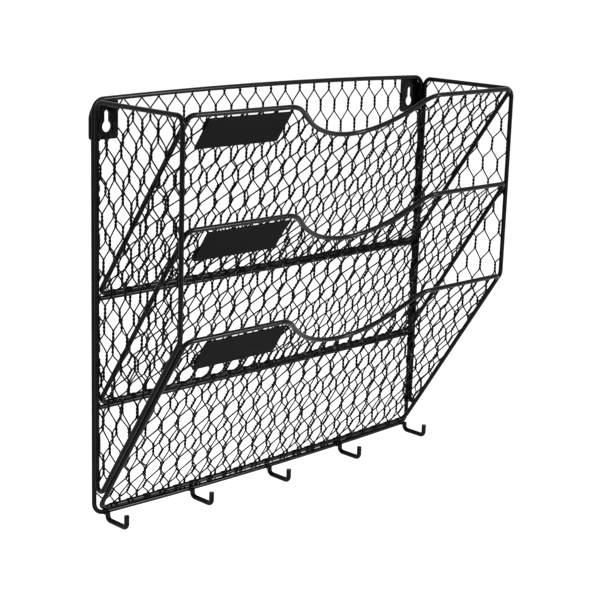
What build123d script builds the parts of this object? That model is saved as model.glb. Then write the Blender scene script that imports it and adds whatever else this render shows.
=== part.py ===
from build123d import *
import math
import os

# A letter rack of bent steel wire that hangs on a wall. A back frame and two side
# frames carry three sloping pocket panels, one above the other. Every frame is a closed
# loop of round wire filled with hexagonal netting. Each pocket has a finger scoop in its
# rim and a blank label plate. Five hooks hang below, and two keyhole tabs hold the rack.
#
# X runs to the right seen from the front, Y runs towards the wall and Z runs up.
# The origin lies on the wall, midway between the round holes of the two keyholes.
# All sizes are in millimetres.

# Wire, netting and welds
frame_wire_d = 3.6
hook_wire_d = 4.0
net_strand = 0.9
net_twist = 1.7
net_thick = 0.8
net_border = 0.9
weld_gap = 0.05

# Back frame: outer size at the uprights, bend radius of the wire's centre line, and how
# far the top and bottom wires bow outwards over the middle part of their length
rack_width = 350.0
rack_height = 309.5
back_corner_r = 9.0
top_bow = 2.9
bottom_bow = 2.8
bow_reach = 150.0

# Side frames: centre of the back frame to centre of the front uprights, bends, and how
# far the slant stands over the bottom pocket's slant
side_depth = 95.6
side_top_drop = 1.0
side_corner_r = 6.0
side_knee_r = 10.0
side_heel_r = 4.0
side_slant_rise = 3.0

# Pocket panels: rims counted down from the top wire's ends, floors up from the bottom
# wire's ends. The loops lie between the side frames, and their rims overhang the front
# uprights. The bottom pocket's floor wire follows the bow of the wire under it.
top_rim_drop = 0.8
rim_pitch = 76.7
floor_pitch = 81.7
floor_forward = 1.0
floor_bow = [0.0, 0.0, 2.4]
rim_overhang = 1.6
rim_corner_r = 5.0
floor_corner_r = 8.0

# Finger scoop in each rim. The slopes and the shifts to the right are given for the
# top, middle and bottom pocket: the scoops are bent by hand and are not quite alike.
scoop_half_width = 71.5
scoop_slope_deg = [39.0, 42.5, 45.0]
scoop_shift = [3.5, 4.0, 0.0]
scoop_floor_r = 90.0
scoop_shoulder_r = 24.5

# Hexagonal netting: width between twists, length of a twist, rise of a diagonal
net_pitch = 15.8
net_twist_length = 8.2
net_diagonal_rise = 8.1

# The large back net is drawn with wider cells, to hold its number of gaps down
back_net_pitch = 19.8
back_net_twist_length = 10.3
back_net_diagonal_rise = 10.1

# Blank label plates
plate_width = 77.0
plate_height = 27.0
plate_thick = 1.0
plate_corner_r = 1.2
plate_below_rim = 3.4
plate_from_side = 19.0

# Hooks: a row that sits a little right of the middle
hook_count = 5
hook_pitch = 82.75
hook_shift = 2.0
hook_lap = 1.0
hook_drop = 5.3
hook_reach = 22.5
hook_rise = 9.7
hook_bend_r = 3.6

# Hanging tabs with keyholes
tab_width = 25.0
tab_height = 28.5
tab_thick = 1.5
tab_corner_r = 2.5
tab_outer_r = 14.0
tab_net_room = 0.4
keyhole_spacing = 320.0
keyhole_hole_d = 8.0
keyhole_slot_w = 4.2
keyhole_slot_rise = 9.5
keyhole_below_top = 19.5

# Places worked out from the sizes above
wire_step = frame_wire_d + weld_gap
half_width = (rack_width - frame_wire_d) / 2
top_z = keyhole_below_top
bottom_z = top_z - (rack_height - frame_wire_d)
back_y = -(tab_thick + weld_gap + frame_wire_d / 2)
side_back_y = back_y - wire_step
side_front_y = back_y - side_depth
side_top_z = top_z - side_top_drop
rim_y = side_front_y - rim_overhang
pocket_half_width = half_width - wire_step
floor_y = back_y - floor_forward
floor_lift = math.sqrt(wire_step**2 - floor_forward**2)
carrier_z = [bottom_z + floor_pitch * step for step in (2, 1, 0)]
floor_z = [z + floor_lift for z in carrier_z]
rim_z = [top_z - top_rim_drop - rim_pitch * step for step in (0, 1, 2)]
panel_inset = frame_wire_d / 2 + weld_gap
hole_inset = panel_inset + net_border
scoop_slope = [math.radians(slope) for slope in scoop_slope_deg]

pocket_names = ["top", "middle", "bottom"]


def rounded_edges(points, radii, plane):
    """Edges of a closed polygon with its corners rounded, starting on its first side."""
    count = len(points)
    corners = []
    for index in range(count):
        here = Vector(*points[index])
        back = (Vector(*points[index - 1]) - here).normalized()
        ahead = (Vector(*points[(index + 1) % count]) - here).normalized()
        half = math.radians(back.get_angle(ahead)) / 2
        reach = radii[index] / math.tan(half)
        middle = (back + ahead).normalized()
        away = radii[index] / math.sin(half) - radii[index]
        corners.append((here + back * reach, here + middle * away, here + ahead * reach))
    start = (corners[0][2] + corners[1][0]) * 0.5
    edges = []
    last = start
    for index in list(range(1, count)) + [0]:
        first, mid, end = corners[index]
        edges.append(Edge.make_line(to_space(plane, last), to_space(plane, first)))
        arc = [to_space(plane, point) for point in (first, mid, end)]
        edges.append(Edge.make_three_point_arc(*arc))
        last = end
    edges.append(Edge.make_line(to_space(plane, last), to_space(plane, start)))
    return edges


def bow_corner(bow, half_span):
    """Height and bend radius of the middle corner that bows a run of wire."""
    height = bow / (1 - bow_reach / half_span / 2)
    return height, bow_reach * half_span / height


def bow_height(across, bow, half_span):
    """Height of a bowed run of wire over its ends."""
    height, bend_r = bow_corner(bow, half_span)
    if abs(across) > bow_reach:
        return height * (1 - abs(across) / half_span)
    return bow - bend_r + math.sqrt(bend_r**2 - across**2)


def to_space(plane, point):
    """A point of a plane's own coordinates in the rack's frame."""
    return plane.from_local_coords(Vector(point.X, point.Y, 0))


def bent_wire(edges, diameter):
    """Round wire along a path of tangent edges."""
    path = Wire(edges)
    begin = Plane(origin=path.position_at(0), z_dir=path.tangent_at(0))
    return sweep(begin * Circle(diameter / 2), path=path)


def hex_hole(across, up, pitch, twist_length, rise):
    """Corners of one net cell, with the strands around it taken off."""
    side = pitch / 2 - net_twist / 2
    cut = net_strand / 2 * math.hypot(pitch / 2, rise) / (pitch / 2)
    peak = twist_length / 2 + rise - cut
    shoulder = peak - rise * side / (pitch / 2)
    shape = [(0, peak), (side, shoulder), (side, -shoulder)]
    shape += [(0, -peak), (-side, -shoulder), (-side, shoulder)]
    return [(across + u, up + v) for u, v in shape]


def cells_over(low_u, high_u, low_v, high_v, pitch, twist_length, rise):
    """Net cells that cover a rectangle, in offset rows, centred across it."""
    row_step = twist_length + rise
    columns = math.ceil((high_u - low_u) / pitch / 2) + 1
    rows = math.ceil((high_v - low_v) / row_step) + 1
    middle = (low_u + high_u) / 2
    cells = []
    for row in range(rows + 1):
        up = high_v - row * row_step
        for column in range(-columns, columns + 1):
            across = middle + (column + (row % 2) / 2) * pitch
            cells.append(hex_hole(across, up, pitch, twist_length, rise))
    return cells


def cut_by_line(shape, point, outward):
    """The part of a convex shape on the inner side of a line."""
    kept = []
    for index, here in enumerate(shape):
        before = shape[index - 1]
        depth = [
            (p[0] - point[0]) * outward[0] + (p[1] - point[1]) * outward[1]
            for p in (before, here)
        ]
        if depth[0] * depth[1] < 0:
            share = depth[0] / (depth[0] - depth[1])
            u = before[0] + (here[0] - before[0]) * share
            v = before[1] + (here[1] - before[1]) * share
            kept.append((u, v))
        if depth[1] <= 0:
            kept.append(here)
    return kept


def shape_area(shape):
    """Area of a flat shape from its corners."""
    total = 0.0
    for index, here in enumerate(shape):
        before = shape[index - 1]
        total += before[0] * here[1] - here[0] * before[1]
    return abs(total) / 2


def corner_lines(points, radii, inset):
    """Lines that keep net cells inside a rounded convex polygon, counter-clockwise."""
    lines = []
    count = len(points)
    for index in range(count):
        here = Vector(*points[index])
        ahead = (Vector(*points[(index + 1) % count]) - here).normalized()
        behind = (Vector(*points[index - 1]) - here).normalized()
        outward = Vector(ahead.Y, -ahead.X)
        lines.append((here - outward * inset, outward))
        half = math.radians(behind.get_angle(ahead)) / 2
        middle = (behind + ahead).normalized()
        away = radii[index] / math.sin(half) - radii[index] + inset
        lines.append((here + middle * away, middle * -1))
    return [((p.X, p.Y), (n.X, n.Y)) for p, n in lines]


def net_sheet(outline_edges, holes, plane, rise_from):
    """Netting as one flat holed sheet."""
    inner = []
    for hole in holes:
        places = [to_space(plane, Vector(u, v)) for u, v in hole]
        inner.append(Wire.make_polygon(places, close=True))
    sheet = Face(Wire(outline_edges), inner)
    lift = plane.z_dir * rise_from
    thick = plane.z_dir * net_thick
    return Solid.extrude(sheet, thick).moved(Location(lift))


def keep_cells(cells, lines, least_area=14.0):
    """Cells cut to a region, without the slivers along its edge."""
    kept = []
    for cell in cells:
        for point, outward in lines:
            cell = cut_by_line(cell, point, outward) if cell else cell
        if len(cell) > 2 and shape_area(cell) > least_area:
            kept.append(cell)
    return kept


def rim_height(across, inset, slope, shift):
    """Height of a pocket's rim, or of a line inside it, over its straight part."""
    u = abs(across - shift)
    half = slope / 2
    knee = scoop_half_width + inset * math.tan(half)
    shoulder_r = scoop_shoulder_r - inset
    floor_r = scoop_floor_r + inset
    shoulder_u = knee + shoulder_r * math.tan(half)
    vee = scoop_half_width * math.tan(slope) + inset / math.cos(slope)
    low = -vee + floor_r * (1 / math.cos(slope) - 1)
    if u >= shoulder_u:
        return -inset
    if u >= shoulder_u - shoulder_r * math.sin(slope):
        return -inset - shoulder_r + math.sqrt(shoulder_r**2 - (u - shoulder_u) ** 2)
    if u <= floor_r * math.sin(slope):
        return low + floor_r - math.sqrt(floor_r**2 - u**2)
    return -inset - (knee - u) * math.tan(slope)


def pocket_outline(length, inset, slope, shift, bow):
    """Corners and bend radii of a pocket loop, or of its net, in the panel's plane."""
    side = pocket_half_width - inset
    knee = scoop_half_width + inset * math.tan(slope / 2)
    vee = scoop_half_width * math.tan(slope) + inset / math.cos(slope)
    points = [(side, -length + inset), (side, -inset), (shift + knee, -inset)]
    points += [(shift, -vee), (shift - knee, -inset), (-side, -inset)]
    points += [(-side, -length + inset)]
    shoulder = scoop_shoulder_r - inset
    top = rim_corner_r - inset
    low = floor_corner_r - inset
    radii = [low, top, shoulder, scoop_floor_r + inset, shoulder, top, low]
    if bow:
        height, bend_r = bow_corner(bow, pocket_half_width)
        points.append((0, -length + inset - height))
        radii.append(bend_r - inset)
    return points, radii


def cut_by_rim(cell, inset, slope, shift):
    """The part of a net cell that lies under the scooped rim."""
    if all(v <= rim_height(u, inset, slope, shift) for u, v in cell):
        return cell
    low_u = min(u for u, v in cell)
    high_u = max(u for u, v in cell)
    below = []
    above = []
    steps = 8
    for step in range(steps + 1):
        u = low_u + (high_u - low_u) * (0.02 + 0.96 * step / steps)
        crossings = []
        for index, here in enumerate(cell):
            before = cell[index - 1]
            if (before[0] <= u) != (here[0] <= u):
                share = (u - before[0]) / (here[0] - before[0])
                crossings.append(before[1] + (here[1] - before[1]) * share)
        top = min(max(crossings), rim_height(u, inset, slope, shift))
        if top - min(crossings) > 0.6:
            below.append((u, min(crossings)))
            above.append((u, top))
    return below + above[::-1]


def rounded_plate(plane, low_u, high_u, low_v, high_v, radii, thick, holes=()):
    """A flat plate with rounded corners and holes given as edges."""
    points = [(low_u, low_v), (high_u, low_v), (high_u, high_v), (low_u, high_v)]
    outer = Wire(rounded_edges(points, radii, plane))
    sheet = Face(outer, [Wire(edges) for edges in holes])
    return Solid.extrude(sheet, plane.z_dir * thick)


def save(shape, name):
    """Writes one piece."""
    export_step(shape, "parts/" + name + ".step")


os.makedirs("parts", exist_ok=True)

# Back frame: one closed loop of wire, upright on the wall
back_plane = Plane(origin=(0, back_y, 0), x_dir=(1, 0, 0), z_dir=(0, -1, 0))
top_peak, top_bend_r = bow_corner(top_bow, half_width)
bottom_peak, bottom_bend_r = bow_corner(bottom_bow, half_width)
back_points = [(half_width, bottom_z), (half_width, top_z), (0, top_z + top_peak)]
back_points += [(-half_width, top_z), (-half_width, bottom_z), (0, bottom_z - bottom_peak)]
back_radii = [back_corner_r, back_corner_r, top_bend_r]
back_radii += [back_corner_r, back_corner_r, bottom_bend_r]
back_loop = rounded_edges(back_points, back_radii, back_plane)
save(bent_wire(back_loop, frame_wire_d), "back_frame")

# Cross wires between the back uprights, under the two upper pockets
cross_half = half_width - frame_wire_d / 2 - weld_gap
for name, z in (("upper_cross_wire", carrier_z[0]), ("lower_cross_wire", carrier_z[1])):
    begin = Plane(origin=(-cross_half, back_y, z), z_dir=(1, 0, 0))
    save(extrude(begin * Circle(frame_wire_d / 2), amount=2 * cross_half), name)

# Back net: on the rear of the back frame, cut away at the two tabs. Its straight edges
# run half way up the bows, so that the wires hide them.
tab_inner = rack_width / 2 - tab_width
tab_low = top_z - tab_height
net_top = top_z + top_bow / 2
net_low = bottom_z - bottom_bow / 2
notch_u = tab_inner - tab_net_room
notch_v = tab_low - tab_net_room
net_plane = Plane(origin=(0, back_y, 0), x_dir=(-1, 0, 0), z_dir=(0, 1, 0))
net_points = [(half_width, net_low), (half_width, notch_v), (notch_u, notch_v)]
net_points += [(notch_u, net_top), (-notch_u, net_top), (-notch_u, notch_v)]
net_points += [(-half_width, notch_v), (-half_width, net_low)]
net_radii = [back_corner_r] + [net_border] * 6 + [back_corner_r]
net_loop = rounded_edges(net_points, net_radii, net_plane)
sizes = (back_net_pitch, back_net_twist_length, back_net_diagonal_rise)
cells = cells_over(-half_width, half_width, net_low, net_top, *sizes)
round_points = [(-half_width, net_low), (half_width, net_low)]
round_points += [(half_width, net_top), (-half_width, net_top)]
round_radii = [back_corner_r, back_corner_r, net_border, net_border]
back_lines = corner_lines(round_points, round_radii, net_border)
back_cells = []
for cell in cells:
    over = max(v for u, v in cell) > notch_v - net_border
    far = max(abs(u) for u, v in cell) > notch_u - net_border
    side = 1 if sum(u for u, v in cell) > 0 else -1
    if over and far:
        under_tab = cut_by_line(cell, (0, notch_v - net_border), (0, 1))
        beside_tab = cut_by_line(cell, (side * (notch_u - net_border), 0), (side, 0))
        cell = max(under_tab, beside_tab, key=shape_area)
    back_cells += keep_cells([cell], back_lines)
back_net = net_sheet(net_loop, back_cells, net_plane, frame_wire_d / 2 + weld_gap)
save(back_net, "back_mesh")
print("back net gaps", len(back_cells))

# Side frames: closed loops whose slant lies against the bottom pocket's slant
slant_fall = (rim_z[2] - floor_z[2]) / (floor_y - rim_y)
knee_z = rim_z[2] - (side_front_y - rim_y) * slant_fall + side_slant_rise
heel_z = rim_z[2] - (side_back_y - rim_y) * slant_fall + side_slant_rise
for name, sign in (("left", -1), ("right", 1)):
    side_plane = Plane(origin=(sign * half_width, 0, 0), x_dir=(0, 1, 0), z_dir=(1, 0, 0))
    side_points = [(side_back_y, heel_z), (side_back_y, side_top_z)]
    side_points += [(side_front_y, side_top_z), (side_front_y, knee_z)]
    side_radii = [side_heel_r, side_corner_r, side_corner_r, side_knee_r]
    side_loop = rounded_edges(side_points, side_radii, side_plane)
    save(bent_wire(side_loop, frame_wire_d), name + "_side_frame")
    # The net fills the loop in its middle plane
    lean = math.atan2(1, slant_fall)
    heel_step = panel_inset * (1 / math.tan(lean / 2))
    knee_step = panel_inset * math.tan(lean / 2)
    inner_points = [(side_back_y - panel_inset, heel_z + heel_step)]
    inner_points += [(side_back_y - panel_inset, side_top_z - panel_inset)]
    inner_points += [(side_front_y + panel_inset, side_top_z - panel_inset)]
    inner_points += [(side_front_y + panel_inset, knee_z + knee_step)]
    inner_radii = [radius - panel_inset for radius in side_radii]
    inner_loop = rounded_edges(inner_points, inner_radii, side_plane)
    sizes = (net_pitch, net_twist_length, net_diagonal_rise)
    cells = cells_over(side_front_y, side_back_y, heel_z, side_top_z, *sizes)
    side_lines = corner_lines(inner_points, inner_radii, net_border)
    side_cells = keep_cells(cells, side_lines)
    side_net = net_sheet(inner_loop, side_cells, side_plane, -net_thick / 2)
    save(side_net, name + "_side_mesh")
    print(name, "side net gaps", len(side_cells))

# Pockets: a scooped loop, its net and its label plate, all in one sloping plane
for index, name in enumerate(pocket_names):
    run = floor_y - rim_y
    drop = rim_z[index] - floor_z[index]
    length = math.hypot(run, drop)
    panel = Plane(
        origin=(0, rim_y, rim_z[index]), x_dir=(1, 0, 0), z_dir=(0, -drop, -run)
    )
    bends = (scoop_slope[index], scoop_shift[index])
    points, radii = pocket_outline(length, 0, *bends, floor_bow[index])
    loop = rounded_edges(points, radii, panel)
    save(bent_wire(loop, frame_wire_d), name + "_pocket_frame")
    points, radii = pocket_outline(length, panel_inset, *bends, floor_bow[index])
    outline = rounded_edges(points, radii, panel)
    side = pocket_half_width - panel_inset
    top = -panel_inset
    low = -length + panel_inset
    box = [(-side, low), (side, low), (side, top), (-side, top)]
    low_r = floor_corner_r - panel_inset
    top_r = rim_corner_r - panel_inset
    pocket_lines = corner_lines(box, [low_r, low_r, top_r, top_r], net_border)
    sizes = (net_pitch, net_twist_length, net_diagonal_rise)
    cells = keep_cells(cells_over(-side, side, low, top, *sizes), pocket_lines)
    cells = [cut_by_rim(cell, hole_inset, *bends) for cell in cells]
    cells = keep_cells([cell for cell in cells if len(cell) > 2], [])
    net = net_sheet(outline, cells, panel, -net_thick / 2)
    save(net, name + "_pocket_mesh")
    print(name, "pocket net gaps", len(cells))
    front = panel.offset(net_thick / 2 + weld_gap)
    plate_left = -pocket_half_width + plate_from_side
    plate_top = -plate_below_rim
    edges = (plate_left, plate_left + plate_width, plate_top - plate_height, plate_top)
    plate = rounded_plate(front, *edges, [plate_corner_r] * 4, plate_thick)
    save(plate, name + "_label_plate")

# Hooks: square J shapes welded to the front of the bottom wire, each at its height there
hook_y = back_y - (frame_wire_d / 2 + hook_wire_d / 2 + weld_gap)
for index in range(hook_count):
    x = hook_shift + (index - (hook_count - 1) / 2) * hook_pitch
    wire_z = bottom_z - bow_height(x, bottom_bow, half_width)
    hook_low_z = wire_z - hook_drop
    path = FilletPolyline(
        (x, hook_y, wire_z + hook_lap),
        (x, hook_y, hook_low_z),
        (x, hook_y - hook_reach, hook_low_z),
        (x, hook_y - hook_reach, hook_low_z + hook_rise),
        radius=hook_bend_r,
    )
    save(bent_wire(path.edges(), hook_wire_d), "hook_" + str(index + 1))

# Hanging tabs: sheet plates behind the top corners, each with a keyhole
wall_plane = Plane(origin=(0, -tab_thick, 0), x_dir=(-1, 0, 0), z_dir=(0, 1, 0))
slot_half = keyhole_slot_w / 2
hole_r = keyhole_hole_d / 2
neck = math.sqrt(hole_r**2 - slot_half**2)
for name, sign in (("left", 1), ("right", -1)):
    middle = sign * keyhole_spacing / 2
    outline = [(-slot_half, neck), (0, -hole_r), (slot_half, neck)]
    outline += [(slot_half, keyhole_slot_rise), (0, keyhole_slot_rise + slot_half)]
    outline += [(-slot_half, keyhole_slot_rise)]
    spots = [to_space(wall_plane, Vector(middle + u, v)) for u, v in outline]
    keyhole = [Edge.make_three_point_arc(spots[0], spots[1], spots[2])]
    keyhole += [Edge.make_line(spots[2], spots[3])]
    keyhole += [Edge.make_three_point_arc(spots[3], spots[4], spots[5])]
    keyhole += [Edge.make_line(spots[5], spots[0])]
    sides = sorted([sign * rack_width / 2, sign * tab_inner])
    outer_first = [tab_corner_r, tab_corner_r, tab_corner_r, tab_outer_r]
    outer_last = [tab_corner_r, tab_corner_r, tab_outer_r, tab_corner_r]
    corner_radii = outer_last if sign > 0 else outer_first
    tab = rounded_plate(
        wall_plane, *sides, tab_low, top_z, corner_radii, tab_thick, [keyhole]
    )
    save(tab, name + "_hanging_tab")
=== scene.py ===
# %% [markdown]
# A letter rack that hangs on a wall, made of bent steel wire, hexagonal netting and gloss
# black enamel. The wire loops, plates, hooks and tabs come ready from the solid model.
# This script adds what a solid model leaves plain: the twisted netting, the tight wraps
# that tie it to the wires, the weld beads, the finishes, the light and the camera.

# %% Load the solid model
import math
import random

import bpy
import numpy as np
from mathutils import Matrix, Vector


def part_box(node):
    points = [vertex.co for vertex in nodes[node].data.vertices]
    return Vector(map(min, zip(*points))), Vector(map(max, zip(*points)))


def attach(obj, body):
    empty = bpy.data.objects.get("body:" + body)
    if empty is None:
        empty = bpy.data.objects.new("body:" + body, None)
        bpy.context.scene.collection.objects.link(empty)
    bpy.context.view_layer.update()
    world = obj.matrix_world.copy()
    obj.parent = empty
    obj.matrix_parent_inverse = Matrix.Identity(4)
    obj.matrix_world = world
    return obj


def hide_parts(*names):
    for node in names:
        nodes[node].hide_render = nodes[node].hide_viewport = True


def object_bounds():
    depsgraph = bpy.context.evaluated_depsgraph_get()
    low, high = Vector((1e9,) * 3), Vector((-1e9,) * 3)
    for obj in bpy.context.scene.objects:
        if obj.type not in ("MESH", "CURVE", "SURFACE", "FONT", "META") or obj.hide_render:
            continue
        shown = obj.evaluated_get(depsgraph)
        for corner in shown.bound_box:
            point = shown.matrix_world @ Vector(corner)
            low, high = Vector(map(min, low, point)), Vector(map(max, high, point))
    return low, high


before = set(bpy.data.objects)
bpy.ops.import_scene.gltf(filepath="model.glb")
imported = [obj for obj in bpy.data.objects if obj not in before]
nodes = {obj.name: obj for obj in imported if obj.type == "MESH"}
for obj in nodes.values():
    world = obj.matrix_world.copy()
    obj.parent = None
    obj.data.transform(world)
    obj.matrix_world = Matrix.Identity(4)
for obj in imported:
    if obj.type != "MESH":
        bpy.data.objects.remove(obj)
solid_box = [list(corner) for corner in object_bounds()]
MM = 0.001
print("solid pieces:", len(nodes))
print("solid size in mm:", [round((h - l) / MM, 1) for l, h in zip(*solid_box)])

# %% [markdown]
# Everything added here has to sit on the solid wires, so their places are read from the
# boxes of the pieces instead of being typed again. A box shows the outside of a round wire,
# so half the wire's thickness is taken off to find its centre line. The top and bottom wires
# of the back frame, and the lowest floor wire, bow outwards by the few millimetres below.
# Such a run is straight near its ends and one wide arc between.

# %% Read the wires' centre lines
top_bow, bottom_bow = 2.9 * MM, 2.8 * MM
floor_bows = {"top": 0.0, "middle": 0.0, "bottom": 2.4 * MM}
bow_reach = 150 * MM

back_low, back_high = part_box("back_frame")
wire_d = back_high[1] - back_low[1]
wire_r = wire_d / 2
half_width = back_high[0] - wire_r
top_z = back_high[2] - wire_r - top_bow
bottom_z = back_low[2] + wire_r + bottom_bow
back_y = (back_low[1] + back_high[1]) / 2

side_low, side_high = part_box("right_side_frame")
side_back_y = side_high[1] - wire_r
side_front_y = side_low[1] + wire_r
side_top_z = side_high[2] - wire_r

pockets = []
for name, bow in floor_bows.items():
    low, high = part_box(name + "_pocket_frame")
    pocket_half_width = high[0] - wire_r
    rim = Vector((0, low[1] + wire_r, high[2] - wire_r))
    lowest = Vector((0, high[1] - wire_r, low[2] + wire_r))
    down = (lowest - rim).normalized()
    pockets.append((name, rim, down, (lowest - rim).length - bow, bow))

cross_z = []
for name in ("upper_cross_wire", "lower_cross_wire"):
    low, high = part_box(name)
    cross_z.append((low[2] + high[2]) / 2)

tab_low, tab_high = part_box("right_hanging_tab")


def bow_corner(bow, half_span):
    """Height and bend radius of the middle corner that bows a run of wire."""
    height = bow / (1 - bow_reach / half_span / 2)
    return height, bow_reach * half_span / height


def bow_height(across, bow, half_span):
    """Height of a bowed run of wire over its ends."""
    if not bow:
        return 0.0
    height, bend_r = bow_corner(bow, half_span)
    if abs(across) > bow_reach:
        return height * (1 - abs(across) / half_span)
    return bow - bend_r + math.sqrt(bend_r**2 - across**2)


print("wire", round(wire_d / MM, 2), "mm, slopes in mm:",
      [round(length / MM, 1) for name, rim, down, length, bow in pockets])

# %% [markdown]
# Colours are written as the hex values a paint chart or a photograph gives. Blender's
# shaders count in linear light, so one function turns a hex value into linear numbers.
# A second small function adds a node, sets its values and makes its links in one call.


# %% Colour and node helpers
def linear(code):
    """Linear colour with alpha from an sRGB hex value such as 1d1d1d."""
    parts = [int(code[i:i + 2], 16) / 255 for i in (0, 2, 4)]
    curve = [c / 12.92 if c <= 0.04045 else ((c + 0.055) / 1.055) ** 2.4 for c in parts]
    return (*curve, 1.0)


def add_node(tree, kind, values=None, links=None, **settings):
    """One node with its settings, its socket values and its incoming links."""
    node = tree.nodes.new(kind)
    for key, value in settings.items():
        setattr(node, key, value)
    for key, value in (values or {}).items():
        node.inputs[key].default_value = value
    for key, socket in (links or {}).items():
        tree.links.new(socket, node.inputs[key])
    return node


def new_material(name):
    """An empty node material and its tree."""
    material = bpy.data.materials.new(name)
    material.use_nodes = True
    material.node_tree.nodes.clear()
    return material, material.node_tree


# %% [markdown]
# Gloss black enamel is sprayed and baked on the welded frame. The film is thin and smooth,
# so it stays nearly black and mirrors the lamps as narrow paler lines along each wire. It
# pools a little, which the eye reads as a soft orange peel about a millimetre across, and
# dust in the film makes some spots less glossy. Both come from noise measured in mm. The
# mirror is set weaker than a fresh film's, so that the wires stay nearly black although the
# studio that they mirror is white.

# %% Enamel on the frame wire
enamel, tree = new_material("gloss_black_enamel_on_steel_wire")
place = add_node(tree, "ShaderNodeTexCoord")
peel = add_node(tree, "ShaderNodeTexNoise", {"Scale": 1 / (1.4 * MM), "Detail": 3.0},
                {"Vector": place.outputs["Object"]})
dust = add_node(tree, "ShaderNodeTexNoise", {"Scale": 1 / (9 * MM), "Detail": 5.0},
                {"Vector": place.outputs["Object"]})
gloss = add_node(tree, "ShaderNodeMapRange",
                 {"From Min": 0.3, "From Max": 0.7, "To Min": 0.10, "To Max": 0.20},
                 {"Value": dust.outputs["Fac"]})
tint = add_node(tree, "ShaderNodeMix", {"A": linear("020203"), "B": linear("060607")},
                {"Factor": dust.outputs["Fac"]}, data_type="RGBA")
relief = add_node(tree, "ShaderNodeBump", {"Strength": 0.10, "Distance": 0.05 * MM},
                  {"Height": peel.outputs["Fac"]})
paint = add_node(tree, "ShaderNodeBsdfPrincipled", {"IOR": 1.5, "Specular IOR Level": 0.1},
                 {"Base Color": tint.outputs["Result"], "Roughness": gloss.outputs["Result"],
                  "Normal": relief.outputs["Normal"]})
add_node(tree, "ShaderNodeOutputMaterial", links={"Surface": paint.outputs["BSDF"]})
print("material:", enamel.name)

# %% [markdown]
# The netting is galvanised wire dipped in the same black enamel. The dip is thicker and
# less even than spray, so it is a touch rougher and its mirror is half as strong.

# %% Enamel on the netting
dipped, tree = new_material("dipped_black_enamel_on_netting_wire")
place = add_node(tree, "ShaderNodeTexCoord")
runs = add_node(tree, "ShaderNodeTexNoise", {"Scale": 1 / (2.2 * MM), "Detail": 4.0},
                {"Vector": place.outputs["Object"]})
gloss = add_node(tree, "ShaderNodeMapRange",
                 {"From Min": 0.3, "From Max": 0.7, "To Min": 0.15, "To Max": 0.30},
                 {"Value": runs.outputs["Fac"]})
tint = add_node(tree, "ShaderNodeMix", {"A": linear("030303"), "B": linear("0a0a0a")},
                {"Factor": runs.outputs["Fac"]}, data_type="RGBA")
relief = add_node(tree, "ShaderNodeBump", {"Strength": 0.15, "Distance": 0.04 * MM},
                  {"Height": runs.outputs["Fac"]})
paint = add_node(tree, "ShaderNodeBsdfPrincipled", {"IOR": 1.5, "Specular IOR Level": 0.05},
                 {"Base Color": tint.outputs["Result"], "Roughness": gloss.outputs["Result"],
                  "Normal": relief.outputs["Normal"]})
add_node(tree, "ShaderNodeOutputMaterial", links={"Surface": paint.outputs["BSDF"]})
print("material:", dipped.name)

# %% [markdown]
# The label plates are steel sheet with blackboard paint, to be written on with chalk. That
# paint is matt and full of fine grit, so it looks dark grey and shows no mirror image. A
# cloth leaves faint paler sweeps a few centimetres long, drawn with stretched noise.

# %% Blackboard paint on the label plates
slate, tree = new_material("matt_blackboard_paint_on_sheet_steel")
place = add_node(tree, "ShaderNodeTexCoord")
stretch = add_node(tree, "ShaderNodeMapping", {"Scale": (0.25, 1.0, 1.0)},
                   {"Vector": place.outputs["Object"]})
sweep = add_node(tree, "ShaderNodeTexNoise", {"Scale": 1 / (8 * MM), "Detail": 6.0},
                 {"Vector": stretch.outputs["Vector"]})
grit = add_node(tree, "ShaderNodeTexNoise", {"Scale": 1 / (0.5 * MM), "Detail": 2.0},
                {"Vector": place.outputs["Object"]})
tint = add_node(tree, "ShaderNodeMix", {"A": linear("171717"), "B": linear("1f1f20")},
                {"Factor": sweep.outputs["Fac"]}, data_type="RGBA")
relief = add_node(tree, "ShaderNodeBump", {"Strength": 0.25, "Distance": 0.05 * MM},
                  {"Height": grit.outputs["Fac"]})
paint = add_node(tree, "ShaderNodeBsdfPrincipled",
                 {"IOR": 1.45, "Roughness": 0.75, "Specular IOR Level": 0.02},
                 {"Base Color": tint.outputs["Result"], "Normal": relief.outputs["Normal"]})
add_node(tree, "ShaderNodeOutputMaterial", links={"Surface": paint.outputs["BSDF"]})
print("material:", slate.name)

# %% [markdown]
# The solid loops, hooks and tabs already have the right shape, so they only take a finish.
# The six flat nets are hidden later, each by the twisted netting that stands for it.

# %% Paint the solid pieces
for name, piece in nodes.items():
    finish = slate if name.endswith("label_plate") else enamel
    if name.endswith("mesh"):
        finish = dipped
    piece.data.materials.clear()
    piece.data.materials.append(finish)
print("painted", len(nodes), "solid pieces")

# %% [markdown]
# A bent wire is a row of rings joined by quads. Curves with a bevel could make it too, but
# thousands of short netting strands are lighter as one mesh per panel. Each ring is turned
# as little as possible from the one before it, so that the tube doesn't twist.


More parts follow.
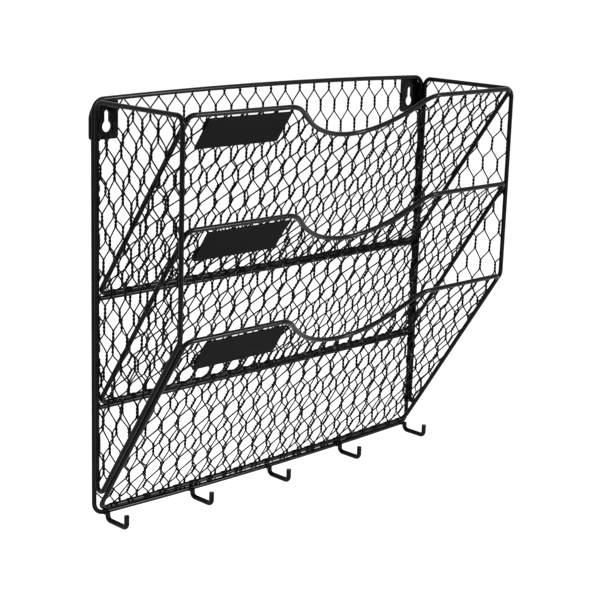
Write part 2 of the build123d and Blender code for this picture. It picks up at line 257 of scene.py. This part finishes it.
# %% Tubes along points
def tube(points, radius, sides, verts, faces):
    """Adds a round wire along points to the lists of one mesh."""
    line = [Vector(p) for p in points]
    ahead = (line[1] - line[0]).normalized()
    across = ahead.orthogonal().normalized()
    start = len(verts)
    for index, here in enumerate(line):
        before = line[max(index - 1, 0)]
        after = line[min(index + 1, len(line) - 1)]
        ahead = (after - before).normalized()
        across = (across - ahead * across.dot(ahead)).normalized()
        beside = ahead.cross(across)
        for side in range(sides):
            angle = 2 * math.pi * side / sides
            verts.append(here + (across * math.cos(angle) + beside * math.sin(angle)) * radius)
    for ring in range(len(line) - 1):
        base = start + ring * sides
        for side in range(sides):
            turn = (side + 1) % sides
            faces.append((base + side, base + turn, base + sides + turn, base + sides + side))
    faces.append(tuple(start + side for side in reversed(range(sides))))
    faces.append(tuple(start + (len(line) - 1) * sides + side for side in range(sides)))


def make_piece(name, verts, faces, finish):
    """One smooth object that rides with the rack."""
    mesh = bpy.data.meshes.new(name)
    mesh.from_pydata([tuple(v) for v in verts], [], faces)
    mesh.polygons.foreach_set("use_smooth", [True] * len(mesh.polygons))
    mesh.materials.append(finish)
    piece = bpy.data.objects.new(name, mesh)
    bpy.context.scene.collection.objects.link(piece)
    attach(piece, "root")
    return piece


# %% [markdown]
# The netting ends on the wire loops, so each panel needs the loop's centre line as a flat
# outline. Corners are rounded with arcs. The pocket rims also dip in a finger scoop: a V
# whose three corners are rounded so widely that it becomes a smooth wave.


# %% Outlines of the wire loops
def rounded_outline(corners, steps=10):
    """Points of a closed outline from (u, v, bend radius) corners."""
    outline = []
    count = len(corners)
    for index, (u, v, radius) in enumerate(corners):
        here = Vector((u, v))
        back = (Vector(corners[index - 1][:2]) - here).normalized()
        ahead = (Vector(corners[(index + 1) % count][:2]) - here).normalized()
        half = back.angle(ahead) / 2
        middle = (back + ahead).normalized()
        centre = here + middle * radius / math.sin(half)
        first = here + back * radius / math.tan(half) - centre
        last = here + ahead * radius / math.tan(half) - centre
        for step in range(steps + 1):
            share = step / steps
            spoke = (first * (1 - share) + last * share).normalized() * radius
            outline.append(centre + spoke)
    return np.array([(p.x, p.y) for p in outline])


def inside(points, outline):
    """True for each point that lies inside the outline."""
    u, v = points[:, 0:1], points[:, 1:2]
    u0, v0 = outline[:, 0], outline[:, 1]
    u1, v1 = np.roll(u0, -1), np.roll(v0, -1)
    spans = (v0 > v) != (v1 > v)
    gap = np.where(np.abs(v1 - v0) < 1e-12, 1e-12, v1 - v0)
    crossing = u0 + (v - v0) * (u1 - u0) / gap
    return (spans & (u < crossing)).sum(axis=1) % 2 == 1


rim_corner_r = 5 * MM
floor_corner_r = 8 * MM
scoop_half_width = 71.5 * MM
scoop_floor_r = 90 * MM
scoop_shoulder_r = 24.5 * MM
scoop_slope = {"top": 39.0, "middle": 42.5, "bottom": 45.0}
scoop_shift = {"top": 3.5 * MM, "middle": 4.0 * MM, "bottom": 0.0}


def pocket_outline(name, length, bow):
    """Centre line of a pocket loop in its own plane, with the rim at v = 0."""
    side, knee, mid = pocket_half_width, scoop_half_width, scoop_shift[name]
    vee = knee * math.tan(math.radians(scoop_slope[name]))
    corners = [(side, -length, floor_corner_r), (side, 0, rim_corner_r)]
    corners += [(mid + knee, 0, scoop_shoulder_r), (mid, -vee, scoop_floor_r)]
    corners += [(mid - knee, 0, scoop_shoulder_r)]
    corners += [(-side, 0, rim_corner_r), (-side, -length, floor_corner_r)]
    if bow:
        height, bend_r = bow_corner(bow, side)
        corners.append((0, -length - height, bend_r))
    return rounded_outline(corners)


# %% [markdown]
# Hexagonal netting is woven on a machine from many upright wires. Each wire is twisted one
# and a half turns with its left neighbour, leaves on a diagonal, is twisted with its right
# neighbour, and so on down the roll. That is how it is built here: every twist is a pair of
# helices, and each strand runs on to the middle of the next diagonal, where the next twist
# takes over. A sheet that is pulled over a frame by hand comes out of square, so each panel
# has its own pitch, its columns lean and its rows tilt. A last small shift of each twist by
# chance comes from a fixed seed.

# %% Twisted netting
net_wire_r = 0.58 * MM
strand_sides = 6
twist_length = 8.2 * MM
twist_turns = 1.5
twist_steps = 10
bend_length = 1.4 * MM
place_chance = 0.3 * MM
slope_chance = 0.03
length_chance = 0.05
bend_shares = (0.6, 0.85)
shortest_step = 0.02 * MM
cut_halvings = 10


def soft_bend(far, near, lift):
    """Two points that round the corner between a diagonal and the end of a twist."""
    corner = (near[0], near[1] + lift)
    shares = [((1 - t) ** 2, 2 * t * (1 - t), t * t) for t in bend_shares]
    return [tuple(f * far[i] + c * corner[i] + n * near[i] for i in (0, 1)) + (0,)
            for f, c, n in shares]


def net_strands(weave, reach, seed):
    """Paths of all netting strands over a panel's reach, in the panel's own plane."""
    chance = random.Random(seed)
    pitch, row_step = weave["pitch"] * MM, weave["row_step"] * MM
    first_u, first_v = [place * MM for place in weave["twist_at"]]
    lean, tilt = weave["lean"] * MM, weave["tilt"] * MM
    low_u, high_u, low_v, high_v = reach
    rows = range(math.floor((first_v - high_v) / row_step) - 2,
                 math.ceil((first_v - low_v) / row_step) + 3)
    columns = range(math.floor((low_u - first_u) / pitch) - 3,
                    math.ceil((high_u - first_u) / pitch) + 4)
    twists = {}
    for row in rows:
        for column in columns:
            u = first_u + (column + (row % 2) / 2) * pitch
            v = first_v - row * row_step
            a = (2 * u - low_u - high_u) / (high_u - low_u)
            b = (2 * v - low_v - high_v) / (high_v - low_v)
            u += lean * b + chance.gauss(0, place_chance)
            v += tilt * a + chance.gauss(0, place_chance)
            slope = chance.gauss(0, slope_chance)
            size = twist_length * (1 + chance.gauss(0, length_chance))
            twists[row, column] = (u, v, slope, size)
    strands = []
    for (row, column), (u, v, slope, size) in twists.items():
        for hand in (-1, 1):
            up_column = column + (row % 2) + (-1 if hand < 0 else 0)
            down_column = column + (row % 2) + (0 if hand < 0 else -1)
            above = twists.get((row - 1, up_column))
            below = twists.get((row + 1, down_column))
            if above is None or below is None:
                continue
            entry = (u + hand * net_wire_r + slope * size / 2, v + size / 2)
            exit_above = (above[0] - hand * net_wire_r - above[2] * above[3] / 2,
                          above[1] - above[3] / 2)
            middle = ((entry[0] + exit_above[0]) / 2, (entry[1] + exit_above[1]) / 2, 0)
            path = [middle] + soft_bend(middle, entry, bend_length)
            for step in range(twist_steps + 1):
                share = step / twist_steps
                angle = (0 if hand > 0 else math.pi) + 2 * math.pi * twist_turns * share
                shift = slope * size * (0.5 - share)
                path.append((u + shift + net_wire_r * math.cos(angle), v + size * (0.5 - share),
                             net_wire_r * math.sin(angle)))
            leave = (u - hand * net_wire_r - slope * size / 2, v - size / 2)
            entry_below = (below[0] + hand * net_wire_r + below[2] * below[3] / 2,
                           below[1] + below[3] / 2)
            middle = ((leave[0] + entry_below[0]) / 2, (leave[1] + entry_below[1]) / 2, 0)
            path += soft_bend(middle, leave, -bend_length)[::-1] + [middle]
            strands.append(path)
    return strands


def cut_to_outline(strands, outline):
    """The stretches of the strands that lie inside an outline, cut on its line."""
    flat = np.array([p[:2] for path in strands for p in path])
    within = inside(flat, outline)
    kept = []
    start = 0
    for path in strands:
        flags = within[start:start + len(path)]
        start += len(path)
        run = []
        for index, point in enumerate(path):
            if index and flags[index] != flags[index - 1]:
                a, b = path[index - 1], point
                if not flags[index - 1]:
                    a, b = b, a
                for step in range(cut_halvings):
                    mid = tuple((x + y) / 2 for x, y in zip(a, b))
                    hit = inside(np.array([mid[:2]]), outline)[0]
                    a, b = (mid, b) if hit else (a, mid)
                run.append(a)
                if not flags[index]:
                    kept.append(run)
                    run = []
            if flags[index]:
                run.append(point)
        kept.append(run)
    return [run for run in kept if len(run) > 1]


def make_net(name, outline, reach, origin, across, along, facing, weave, seed):
    """Twisted netting on one panel, in place of its flat solid."""
    verts, faces = [], []
    strands = cut_to_outline(net_strands(weave, reach, seed), outline)
    for run in strands:
        spots = [origin + across * u + along * v + facing * w for u, v, w in run]
        line = [spots[0]]
        line += [b for a, b in zip(spots, spots[1:]) if (b - a).length > shortest_step]
        if len(line) > 1:
            tube(line, net_wire_r, strand_sides, verts, faces)
    net = make_piece(name + "_netting", verts, faces, dipped)
    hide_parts(name)
    print(name, "strands", len(strands), "vertices", len(verts))
    return strands


def strand_ends(strands):
    """The tip of each strand's two ends, each with the point before it."""
    return [(run[end], run[beside]) for run in strands for end, beside in ((0, 1), (-1, -2))]


# %% [markdown]
# Six panels take netting: the back, the two sides and the three pockets. Each panel's pitch,
# its step from row to row and the place of the twist nearest its middle are in millimetres. So
# are the lean, by which the columns have moved sideways at the panel's top edge, and the tilt,
# by which the rows have risen at its right edge, or at the rear edge of a side panel.

# %% Pull of the netting on each panel
weaves = {
    "top": {"pitch": 15.6, "row_step": 16.6, "twist_at": (-6.0, -89.5), "lean": 3.0, "tilt": 2.0},
    "middle": {"pitch": 15.9, "row_step": 16.7, "twist_at": (-7.5, -80.5), "lean": 4.5, "tilt": -3.0},
    "bottom": {"pitch": 16.0, "row_step": 17.4, "twist_at": (-7.5, -90.5), "lean": -2.5, "tilt": -1.0},
    "left": {"pitch": 16.1, "row_step": 16.7, "twist_at": (-49.0, -127.5), "lean": 8.0, "tilt": -3.0},
    "right": {"pitch": 15.4, "row_step": 16.9, "twist_at": (-47.0, -130.0), "lean": -6.0, "tilt": -0.5},
    "back": {"pitch": 15.9, "row_step": 17.0, "twist_at": (5.0, -132.5), "lean": 1.5, "tilt": -3.5},
}
x_axis, y_axis, z_axis = Vector((1, 0, 0)), Vector((0, 1, 0)), Vector((0, 0, 1))
on_wire = 0.2 * MM
floor_ends, upright_ends = {}, []
print("panels with netting:", len(weaves))

# %% [markdown]
# The pocket nets lie in the middle of their sloping loops. Where a strand ends on the floor
# wire, its place and the way in which it arrives are kept for the wraps.

# %% Nets in the pockets
for index, (name, rim, down, length, bow) in enumerate(pockets):
    reach = (-pocket_half_width, pocket_half_width, -length, 0)
    strands = make_net(name + "_pocket_mesh", pocket_outline(name, length, bow), reach, rim,
                       x_axis, down * -1, x_axis.cross(down * -1), weaves[name], 11 + index)
    floor_ends[name] = [(tip[0], tip[0] - before[0]) for tip, before in strand_ends(strands)
                        if tip[1] < on_wire - length]

# %% [markdown]
# The side nets lie in the middle of the side loops. The slant of such a loop runs along the
# bottom pocket's slope and a little above it, so its two ends follow from that slope.

# %% Nets in the sides
side_corner_r, side_knee_r, side_heel_r = 6 * MM, 10 * MM, 4 * MM
side_slant_rise = 3.0 * MM
name, rim, down, length, bow = pockets[-1]
fall = -down.z / down.y
knee_z = rim.z - (side_front_y - rim.y) * fall + side_slant_rise
heel_z = rim.z - (side_back_y - rim.y) * fall + side_slant_rise
corners = [(side_back_y, heel_z, side_heel_r), (side_back_y, side_top_z, side_corner_r)]
corners += [(side_front_y, side_top_z, side_corner_r), (side_front_y, knee_z, side_knee_r)]
reach = (side_front_y, side_back_y, heel_z, side_top_z)
for name, x, seed in (("left", -half_width, 21), ("right", half_width, 22)):
    strands = make_net(name + "_side_mesh", rounded_outline(corners), reach, Vector((x, 0, 0)),
                       y_axis, z_axis, x_axis, weaves[name], seed)
    upright_ends += [(x, side_back_y, tip[1], tip[1] - before[1])
                     for tip, before in strand_ends(strands) if tip[0] > side_back_y - on_wire]

# %% [markdown]
# The back net is pressed against the rear of the back frame's wires, just clear of the wall,
# and it is cut out round the two tabs.

# %% Net on the back
back_corner_r, notch_r = 9 * MM, 0.5 * MM
wall_gap = 0.02 * MM
tab_inner = tab_low[0]
net_top, net_low = top_z + top_bow / 2, bottom_z - bottom_bow / 2
corners = [(half_width, net_low, back_corner_r), (half_width, tab_low[2], notch_r)]
corners += [(tab_inner, tab_low[2], notch_r), (tab_inner, net_top, notch_r)]
corners += [(-u, v, radius) for u, v, radius in reversed(corners)]
rear = Vector((0, -2 * net_wire_r - wall_gap, 0))
reach = (-half_width, half_width, bottom_z, top_z)
strands = make_net("back_mesh", rounded_outline(corners), reach, rear, x_axis, z_axis,
                   y_axis * -1, weaves["back"], 31)
upright_ends += [(math.copysign(half_width, tip[0]), back_y, tip[1], tip[1] - before[1])
                 for tip, before in strand_ends(strands) if abs(tip[0]) > half_width - on_wire]

# %% [markdown]
# At the foot of each pocket the strands are wound tightly round the floor wire, two to three
# and a half turns each, on in the direction in which they arrive. Those that end on the
# uprights at the back take two turns more. A wrap is a helix around the wire. It is pressed
# into the thick enamel, so only part of each turn stands out, and on the uprights it sits
# inwards, so that the outer face of the rack stays smooth.

# %% Wraps on the floor wires and the uprights
wrap_pitch = 1.2 * MM
wrap_bite = 0.08 * MM
floor_turns, upright_turns, turn_steps = 2, 4, 10
heel_clear, top_clear = 6 * MM, 8 * MM
wrap_r = wire_r - wrap_bite
inwards = net_wire_r - wrap_bite
verts, faces = [], []
chance = random.Random(5)
count = 0


def wound(start, way, turns, place):
    """Path of a strand's end wound round a wire, whose surface place gives by angle."""
    steps = turn_steps * turns + chance.choice((0, 5, 10, 15))
    pitch = math.copysign(wrap_pitch, way)
    shares = [step / turn_steps for step in range(steps + 1)]
    return [place(start + pitch * share, 2 * math.pi * share) for share in shares]


for name, rim, down, length, bow in pockets:
    out = x_axis.cross(down)
    for start, way in floor_ends[name]:
        path = wound(start, way, floor_turns, lambda x, angle: Vector((x, 0, 0)) + rim
                     + down * (length + bow_height(x, bow, pocket_half_width))
                     + (out * math.sin(angle) - down * math.cos(angle)) * wrap_r)
        if abs(path[-1].x) < pocket_half_width - floor_corner_r:
            tube(path, net_wire_r, strand_sides, verts, faces)
            count += 1
for x, y, start, way in upright_ends:
    centre = Vector((x - math.copysign(inwards, x), y, 0))
    path = wound(start, way, upright_turns, lambda z, angle: centre + z_axis * z
                 + (x_axis * math.cos(angle) + y_axis * math.sin(angle)) * wrap_r)
    if heel_z + heel_clear < path[0].z and path[-1].z < side_top_z - top_clear:
        tube(path, net_wire_r, strand_sides, verts, faces)
        count += 1
make_piece("strand_wraps", verts, faces, dipped)
print("wraps", count)

# %% [markdown]
# The loops are resistance welded where they touch. A weld leaves a small smooth bead in the
# groove between two round wires. Each bead here is a squashed ball, long along the groove,
# and a little uneven because a weld never sets the same way twice.


# %% Weld beads
def bead(centre, along, size, verts, faces):
    """A smooth lump of weld metal of a half length and a half width, drawn out along a direction."""
    long_r, wide_r = size
    ahead = Vector(along).normalized()
    across = ahead.orthogonal().normalized()
    beside = ahead.cross(across)
    rings, sides = 7, 10
    uneven, ridges, ring_twist, turn_per_metre = 0.08, 3, 5, 900
    start = len(verts)
    for ring in range(1, rings):
        polar = math.pi * ring / rings
        for side in range(sides):
            angle = 2 * math.pi * side / sides
            phase = ridges * angle + ring_twist * polar + centre[0] * turn_per_metre
            lump = 1 + uneven * math.sin(phase)
            flat = (across * math.cos(angle) + beside * math.sin(angle)) * wide_r * lump
            verts.append(Vector(centre) + ahead * long_r * math.cos(polar) + flat * math.sin(polar))
    for ring in range(rings - 2):
        for side in range(sides):
            turn = (side + 1) % sides
            low = start + ring * sides
            faces.append((low + side, low + turn, low + sides + turn, low + sides + side))
    faces.append(tuple(start + side for side in reversed(range(sides))))
    faces.append(tuple(start + (rings - 2) * sides + side for side in range(sides)))


# %% [markdown]
# Each kind of joint has its own bead. Long ones hold the side uprights against the back
# frame, four down each side. Short ones close the corners where a cross wire meets an upright,
# and others hold the pocket rims, the hooks and the tabs. How deep a bead lies in its groove
# is a share of the wire's radius.

# %% Welds of the frames
verts, faces = [], []
upright_bead, cross_bead = (3.4 * MM, 0.9 * MM), (1.2 * MM, 0.9 * MM)
rim_bead = (2.6 * MM, 1.1 * MM)
first_weld, weld_pitch = 46 * MM, 72 * MM
rim_weld, rim_weld_rear = 4.2 * MM, 0.3 * MM
groove = wire_r * 0.62
corner_in, corner_up = wire_r * 1.15, wire_r * 0.75
for sign in (-1, 1):
    x = sign * half_width
    for number in range(4):
        spot = (x - sign * groove, (back_y + side_back_y) / 2,
                top_z - first_weld - number * weld_pitch)
        bead(spot, z_axis, upright_bead, verts, faces)
    for z in cross_z:
        for lift in (-1, 1):
            spot = (x - sign * corner_in, back_y, z + lift * corner_up)
            bead(spot, (sign, 0, lift), cross_bead, verts, faces)
    for name, rim, down, length, bow in pockets:
        spot = rim + down * rim_weld
        spot = (sign * (half_width + pocket_half_width) / 2, spot.y + rim_weld_rear, spot.z)
        bead(spot, down, rim_bead, verts, faces)
print("vertices of the frames' welds", len(verts))

# %% Welds of the hooks and tabs
hook_bead = (1.6 * MM, 0.8 * MM)
tab_side_bead, tab_top_bead = (2.8 * MM, 0.9 * MM), (2.6 * MM, 0.9 * MM)
hook_weld_drop, tab_bite = 0.3 * MM, 0.5 * MM
tab_drops, tab_steps = (14 * MM, 25 * MM), (3 * MM, 9 * MM)
beside_arm, before_wire, beside_tab = 0.85, 0.95, 0.75
for number in range(1, 6):
    low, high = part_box("hook_%d" % number)
    x = (low[0] + high[0]) / 2
    arm_r = (high[0] - low[0]) / 2
    wire_z = bottom_z - bow_height(x, bottom_bow, half_width)
    for sign in (-1, 1):
        spot = (x + sign * arm_r * beside_arm, back_y - wire_r * before_wire, wire_z - hook_weld_drop)
        bead(spot, z_axis, hook_bead, verts, faces)
for sign in (-1, 1):
    for drop in tab_drops:
        spot = (sign * (half_width - wire_r * beside_tab), tab_low[1] - tab_bite, top_z - drop)
        bead(spot, z_axis, tab_side_bead, verts, faces)
    for step in tab_steps:
        x = tab_inner + step
        wire_z = top_z + bow_height(x, top_bow, half_width)
        spot = (sign * x, tab_low[1] - tab_bite, wire_z - wire_r * beside_tab)
        bead(spot, x_axis, tab_top_bead, verts, faces)
make_piece("weld_beads", verts, faces, enamel)
print("weld vertices", len(verts))

# %% [markdown]
# The camera stands to the left of the rack and a little above it, on a long lens, as a
# catalogue photographer would. It is turned to the right from straight at the wall, looks
# down a little and leans slightly to one side. These angles follow from the straight wires,
# whose real directions are known.

# %% Camera
eye = Vector((-825.0, -864.4, 141.7)) * MM
to_right, downwards, sideways = [math.radians(angle) for angle in (44.97, 13.676, 1.744)]
lens = bpy.data.cameras.new("long_lens")
lens.sensor_width = 36
lens.lens = 92.49
lens.clip_start = 0.05
camera = bpy.data.objects.new("camera", lens)
turn = Matrix.Rotation(-to_right, 4, "Z") @ Matrix.Rotation(math.pi / 2 - downwards, 4, "X")
turn = turn @ Matrix.Rotation(sideways, 4, "Z")
camera.matrix_world = Matrix.Translation(eye) @ turn
bpy.context.scene.collection.objects.link(camera)
bpy.context.scene.camera = camera
print("lens", round(lens.lens, 1), "mm")

# %% [markdown]
# The floor is a wide plain sheet of white paper well below the hooks. It has a glow of its own
# for the camera and for mirror images only, which brings it up to white without putting more
# light on the rack. The rack's shadow falls far behind it, outside the picture.


# %% Floor
def seen_strength(tree, on_rack, when_seen):
    """One strength for light on the rack and one for the camera and mirror images."""
    ray = add_node(tree, "ShaderNodeLightPath")
    seen = add_node(tree, "ShaderNodeMath", {}, {0: ray.outputs["Is Camera Ray"],
                    1: ray.outputs["Is Glossy Ray"]}, operation="MAXIMUM")
    seen = add_node(tree, "ShaderNodeMath", {}, {0: seen.outputs[0],
                    1: ray.outputs["Is Transmission Ray"]}, operation="MAXIMUM")
    strength = add_node(tree, "ShaderNodeMapRange", {"To Min": on_rack, "To Max": when_seen},
                        {"Value": seen.outputs[0]})
    return strength.outputs["Result"]


floor_drop = 0.6
floor_near, floor_far = -30.0, 40.0
floor_glow = 0.88
level = solid_box[0][2] - floor_drop
edges = [(floor_near, floor_near, level), (floor_far, floor_near, level),
         (floor_far, floor_far, level), (floor_near, floor_far, level)]
mesh = bpy.data.meshes.new("studio_floor")
mesh.from_pydata(edges, [], [(0, 1, 2, 3)])
floor_sheet = bpy.data.objects.new("studio_floor", mesh)
bpy.context.scene.collection.objects.link(floor_sheet)
paper, tree = new_material("white_studio_paper")
place = add_node(tree, "ShaderNodeTexCoord")
grain = add_node(tree, "ShaderNodeTexNoise", {"Scale": 1 / (3 * MM), "Detail": 3.0},
                 {"Vector": place.outputs["Object"]})
relief = add_node(tree, "ShaderNodeBump", {"Strength": 0.05, "Distance": 0.1 * MM},
                  {"Height": grain.outputs["Fac"]})
sheet = add_node(tree, "ShaderNodeBsdfPrincipled",
                 {"Base Color": linear("f4f4f4"), "Roughness": 0.9, "Specular IOR Level": 0.05},
                 {"Normal": relief.outputs["Normal"]})
glow = add_node(tree, "ShaderNodeEmission", {"Color": linear("ffffff")},
                {"Strength": seen_strength(tree, 0.0, floor_glow)})
lit = add_node(tree, "ShaderNodeAddShader")
tree.links.new(sheet.outputs["BSDF"], lit.inputs[0])
tree.links.new(glow.outputs["Emission"], lit.inputs[1])
add_node(tree, "ShaderNodeOutputMaterial", links={"Surface": lit.outputs["Shader"]})
floor_sheet.data.materials.append(paper)
print("floor at", round(level, 3), "m")

# %% [markdown]
# Black enamel shows only what it mirrors. A tall soft box stands far to the right, where the
# left halves of the cross-running wires mirror it into the lens as thin paler lines. A wide
# one in front does the same on the rising side of the finger scoops. The studio round them is
# white for the camera and for mirror images alike, and puts only a little light on the rack.


# %% Light
def soft_box(name, spot, aim, width, height, power):
    """A rectangular lamp that faces a point."""
    lamp = bpy.data.lights.new(name, "AREA")
    lamp.shape = "RECTANGLE"
    lamp.size, lamp.size_y = width, height
    lamp.energy = power
    holder = bpy.data.objects.new(name, lamp)
    holder.location = spot
    holder.rotation_euler = (Vector(aim) - Vector(spot)).to_track_quat("-Z", "Y").to_euler()
    bpy.context.scene.collection.objects.link(holder)
    return holder


soft_box("tall_soft_box", spot=(2.33, -3.05, 0.93), aim=(-0.095, -0.05, -0.1),
         width=0.50, height=1.6, power=80.0)
soft_box("front_soft_box", spot=(0.45, -3.7, 1.40), aim=(0.0, -0.05, -0.1),
         width=4.0, height=0.8, power=90.0)
studio = bpy.data.worlds.new("studio")
bpy.context.scene.world = studio
studio.use_nodes = True
tree = studio.node_tree
tree.nodes.clear()
fill_light, white = 0.2, 1.0
sky = add_node(tree, "ShaderNodeBackground", {"Color": linear("ffffff")},
               {"Strength": seen_strength(tree, fill_light, white)})
add_node(tree, "ShaderNodeOutputWorld", links={"Surface": sky.outputs["Background"]})
bpy.context.scene.view_settings.view_transform = "Standard"
print("lamps", len(bpy.data.lights))
